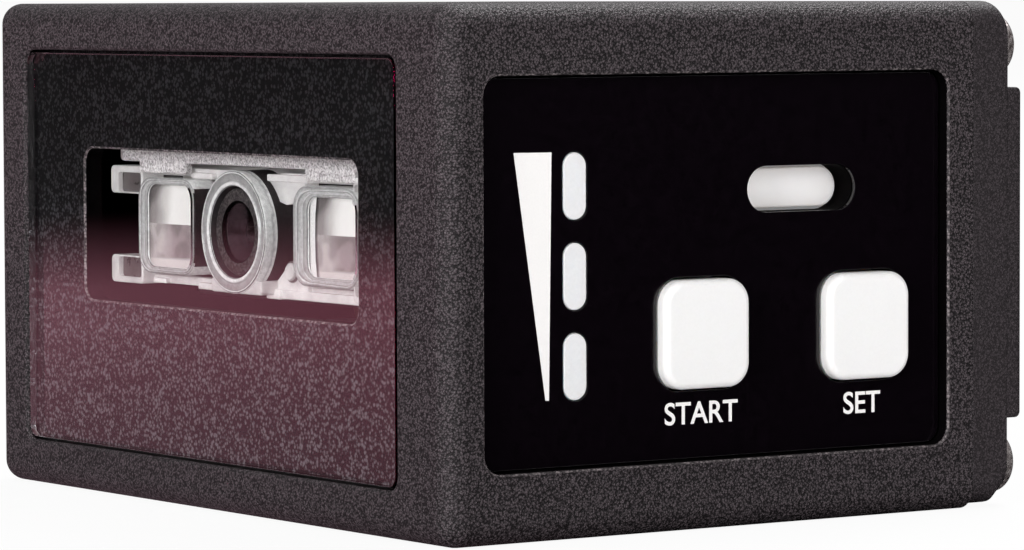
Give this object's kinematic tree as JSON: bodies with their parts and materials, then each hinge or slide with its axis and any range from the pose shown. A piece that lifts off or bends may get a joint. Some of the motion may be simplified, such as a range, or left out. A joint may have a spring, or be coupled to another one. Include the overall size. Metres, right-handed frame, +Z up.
{
  "type": "fixed barcode reader",
  "caption": "Compact box-shaped barcode reader with a tinted front window, a scan engine behind it, a side panel with push keys and lights, and a screwed rear cover",
  "frame": {"origin": "centre of the housing's flat base, at the height it rests on", "axes": "+Z up, the window faces -Y, the key panel faces +X"},
  "size_m": [0.051, 0.0421, 0.03],
  "materials": {
    "housing_plastic": "fine moulded grain",
    "cover_plastic": "fine moulded grain",
    "window_tint": "polished, dark tinted",
    "label_black": "glossy overlay",
    "key_white": "satin",
    "pipe_white": "diffusing",
    "screw_steel": "bright plated",
    "bush_rubber": "matte",
    "cast_metal": "die cast",
    "clear_moulding": "clear moulded",
    "black_plastic": "matte",
    "lens_glass": "coated",
    "board_green": "solder mask",
    "chip_black": "moulded",
    "connector_cream": "moulded",
    "led_yellow": "resin",
    "flex_amber": "film",
    "insert_brass": "turned",
    "coil_grey": "ferrite"
  },
  "bodies": {
    "reader": {"housing": "housing_plastic", "window": "window_tint", "control_label": "label_black", "left_switch": "chip_black", "right_switch": "chip_black", "status_light_pipe": "pipe_white", "status_led": "led_yellow", "level_light_guide": "pipe_white", "level_led_1": "led_yellow", "level_led_2": "led_yellow", "level_led_3": "led_yellow", "control_board": "board_green", "control_screw_1": "screw_steel", "control_screw_2": "screw_steel", "control_screw_3": "screw_steel", "rear_cover": "cover_plastic", "rear_screw_1": "screw_steel", "rear_screw_2": "screw_steel", "rear_screw_3": "screw_steel", "rear_screw_4": "screw_steel", "cable_inlet": "bush_rubber", "engine_frame": "cast_metal", "engine_screw_1": "screw_steel", "engine_screw_2": "screw_steel", "light_cover": "clear_moulding", "lens_holder": "black_plastic", "lens_barrel": "black_plastic", "camera_lens": "lens_glass", "image_sensor": "chip_black", "light_board": "board_green", "light_led_left": "led_yellow", "light_led_right": "led_yellow", "sensor_board": "board_green", "engine_connector": "connector_cream", "engine_socket": "connector_cream", "engine_flex": "flex_amber", "main_board": "board_green", "main_board_screw_1": "screw_steel", "main_board_screw_2": "screw_steel", "main_board_screw_3": "screw_steel", "main_board_screw_4": "screw_steel", "processor": "chip_black", "memory": "chip_black", "power_inductor": "coil_grey", "cable_connector": "connector_cream", "buzzer": "chip_black", "capacitor": "screw_steel", "board_header": "connector_cream", "mounting_insert_1": "insert_brass", "mounting_insert_2": "insert_brass"},
    "left_key": {"left_button": "key_white", "left_switch_stem": "black_plastic"},
    "right_key": {"right_button": "key_white", "right_switch_stem": "black_plastic"}
  },
  "joints": [
    {"name": "left_key_press", "type": "slide", "parent": "reader", "child": "left_key", "axis": [-1, 0, 0], "range_m": [0, 0.0004], "stiffness_N_per_m": 800},
    {"name": "right_key_press", "type": "slide", "parent": "reader", "child": "right_key", "axis": [-1, 0, 0], "range_m": [0, 0.0004], "stiffness_N_per_m": 800}
  ]
}
